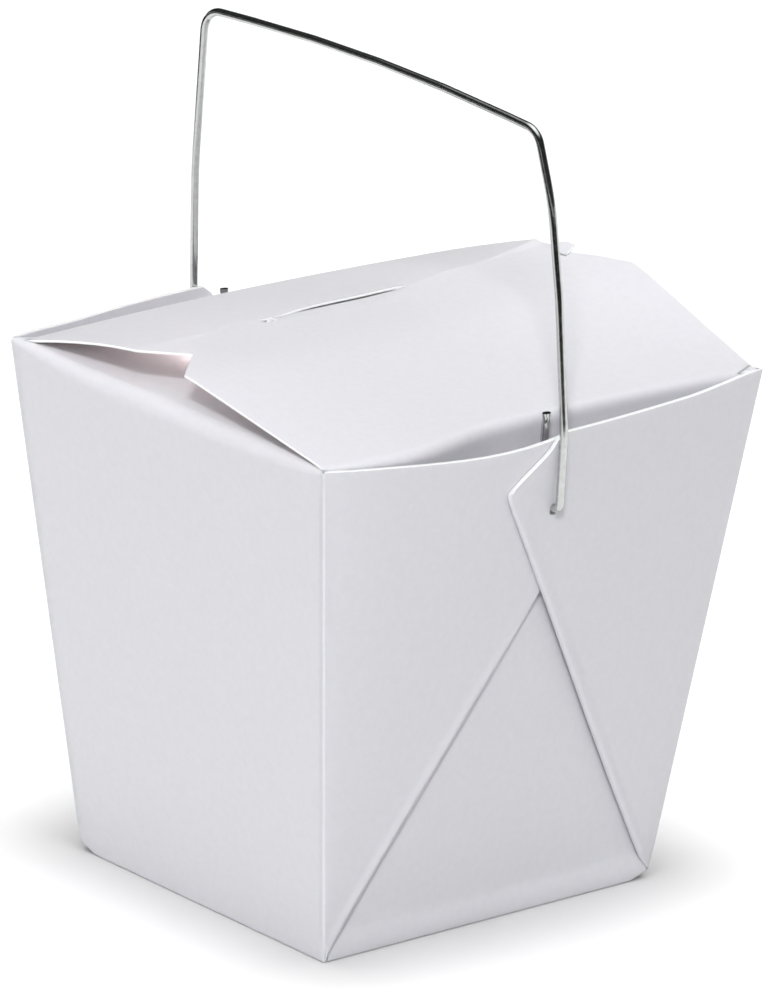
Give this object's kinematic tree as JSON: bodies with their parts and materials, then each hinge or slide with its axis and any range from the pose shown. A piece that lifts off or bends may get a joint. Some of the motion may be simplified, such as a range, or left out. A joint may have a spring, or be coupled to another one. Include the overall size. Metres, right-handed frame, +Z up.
{
  "type": "noodle takeaway box",
  "caption": "Shut folded paperboard takeaway box with a tapered body, interlocked lid flaps, overlapped gusset ends and a wire carrying bail.",
  "frame": {"origin": "centre of the base, on the surface that the box stands on", "axes": "+Z up; X runs through the two gusset ends that the wire passes through, with the top lid flap hinged at +X; Y runs through the two plain sides"},
  "size_m": [0.1095, 0.1076, 0.1612],
  "materials": {
    "board": "white folding boxboard with a thin satin poly coating, faint fibre mottle",
    "wire": "drawn galvanised wire, dull silver with fine draw lines"
  },
  "bodies": {
    "box": {"carton": "board"},
    "bail": {"wire_handle": "wire"}
  },
  "joints": [
    {"name": "bail_swing", "type": "hinge", "parent": "box", "child": "bail", "pos_m": [0, -0.0011, 0.0863], "axis": [1, 0, 0], "range_deg": [-75, 75]}
  ]
}
